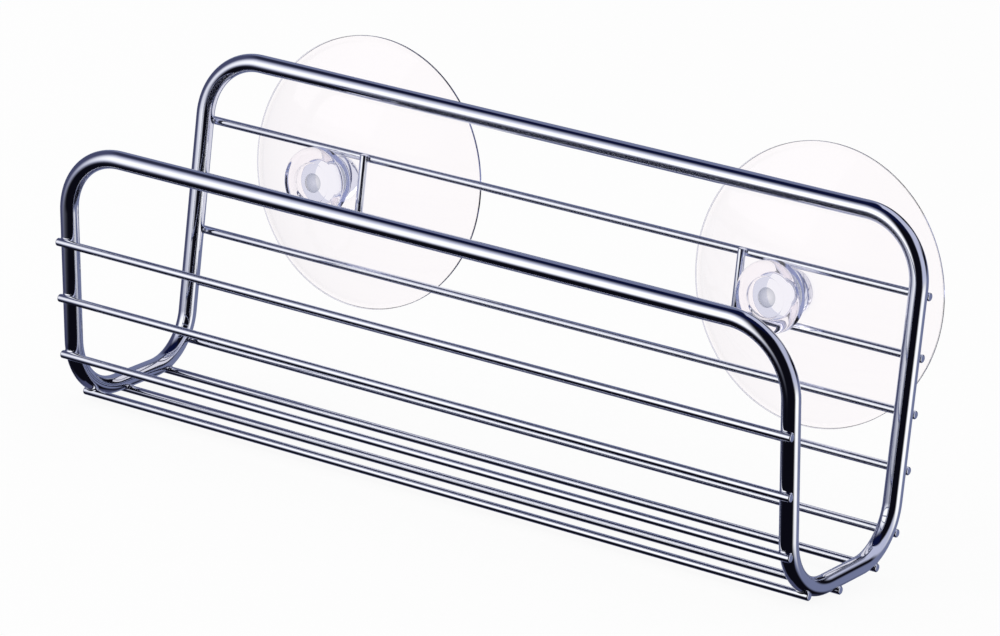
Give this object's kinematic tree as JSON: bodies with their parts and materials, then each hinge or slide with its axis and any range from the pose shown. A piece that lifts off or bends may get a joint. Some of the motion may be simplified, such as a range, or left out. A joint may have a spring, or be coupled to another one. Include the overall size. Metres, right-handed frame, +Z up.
{
  "type": "sponge holder",
  "caption": "Chromed wire trough with a raised back and a leaning front that holds a dish sponge, hung on clear suction cups which slide along its rear rails.",
  "frame": {"origin": "on the wall plane, midway between the axes of the two suction cups", "axes": "+X along the basket, +Y into the wall, +Z up"},
  "size_m": [0.2106, 0.0748, 0.0924],
  "materials": {
    "plated_wire": "bright polished plating",
    "clear_soft_plastic": "clear soft moulding, glossy, faintly pink"
  },
  "bodies": {
    "basket": {"basket_frame": "plated_wire", "front_rail_top": "plated_wire", "front_rail_middle": "plated_wire", "front_rail_low": "plated_wire", "floor_rail_front": "plated_wire", "floor_rail_middle": "plated_wire", "floor_rail_rear": "plated_wire", "back_rail_low": "plated_wire", "back_rail_second": "plated_wire", "back_rail_middle": "plated_wire", "cup_rail_lower": "plated_wire", "cup_rail_upper": "plated_wire", "cup_stop_left": "plated_wire", "cup_stop_right": "plated_wire"},
    "left_cup": {"suction_cup_left": "clear_soft_plastic"},
    "right_cup": {"suction_cup_right": "clear_soft_plastic"}
  },
  "joints": [
    {"name": "left_cup_slide", "type": "slide", "parent": "basket", "child": "left_cup", "axis": [-1, 0, 0], "range_m": [-0.0043, 0.026]},
    {"name": "right_cup_slide", "type": "slide", "parent": "basket", "child": "right_cup", "axis": [1, 0, 0], "range_m": [-0.0043, 0.026]}
  ]
}
